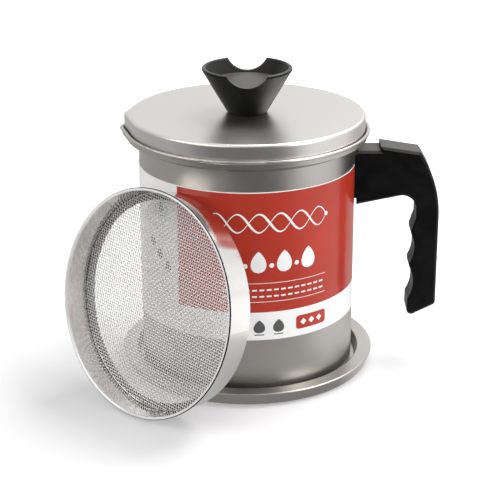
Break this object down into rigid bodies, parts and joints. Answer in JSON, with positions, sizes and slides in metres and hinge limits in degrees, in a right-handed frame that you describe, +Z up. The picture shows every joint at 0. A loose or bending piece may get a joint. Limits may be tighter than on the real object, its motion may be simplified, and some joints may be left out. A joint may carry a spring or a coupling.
{
  "type": "bacon grease container",
  "caption": "Steel oil pot with a pouring lip, lift-off lid with scalloped knob, side handle, drip tray and a shallow mesh strainer leaning on it.",
  "frame": {"origin": "middle of the drip tray's underside, on the pot's axis", "axes": "+Z up along the pot's axis, +X towards the handle, -X towards the pouring lip"},
  "size_m": [0.2043, 0.1842, 0.1674],
  "materials": {
    "pot_steel": "satin warm grey",
    "lid_steel": "fine satin",
    "polished_steel": "polished",
    "mesh_steel": "fine woven wire",
    "bracket_steel": "plain",
    "screw_steel": "zinc plated",
    "phenolic": "semi-matte black phenolic",
    "insert_brass": "turned",
    "label_print": "glossy printed sleeve"
  },
  "bodies": {
    "tray": {"drip_tray": "pot_steel"},
    "pot": {"pot_body": "pot_steel", "label_sleeve": "label_print", "handle_bracket": "bracket_steel", "handle_grip": "phenolic", "handle_screw": "screw_steel"},
    "lid": {"lid_cover": "lid_steel", "lid_knob": "phenolic", "knob_insert": "insert_brass", "knob_screw": "screw_steel", "knob_washer": "screw_steel"},
    "strainer": {"strainer_frame": "polished_steel", "strainer_mesh": "mesh_steel"}
  },
  "joints": [
    {"name": "pot_lift", "type": "slide", "parent": "tray", "child": "pot", "axis": [0, 0, 1], "range_m": [0, 0.12]},
    {"name": "lid_lift", "type": "slide", "parent": "pot", "child": "lid", "axis": [0, 0, 1], "range_m": [0, 0.08]},
    {"name": "strainer_lift", "type": "slide", "parent": "tray", "child": "strainer", "axis": [-0.474, -0.5247, 0.7071], "range_m": [0, 0.12]}
  ]
}
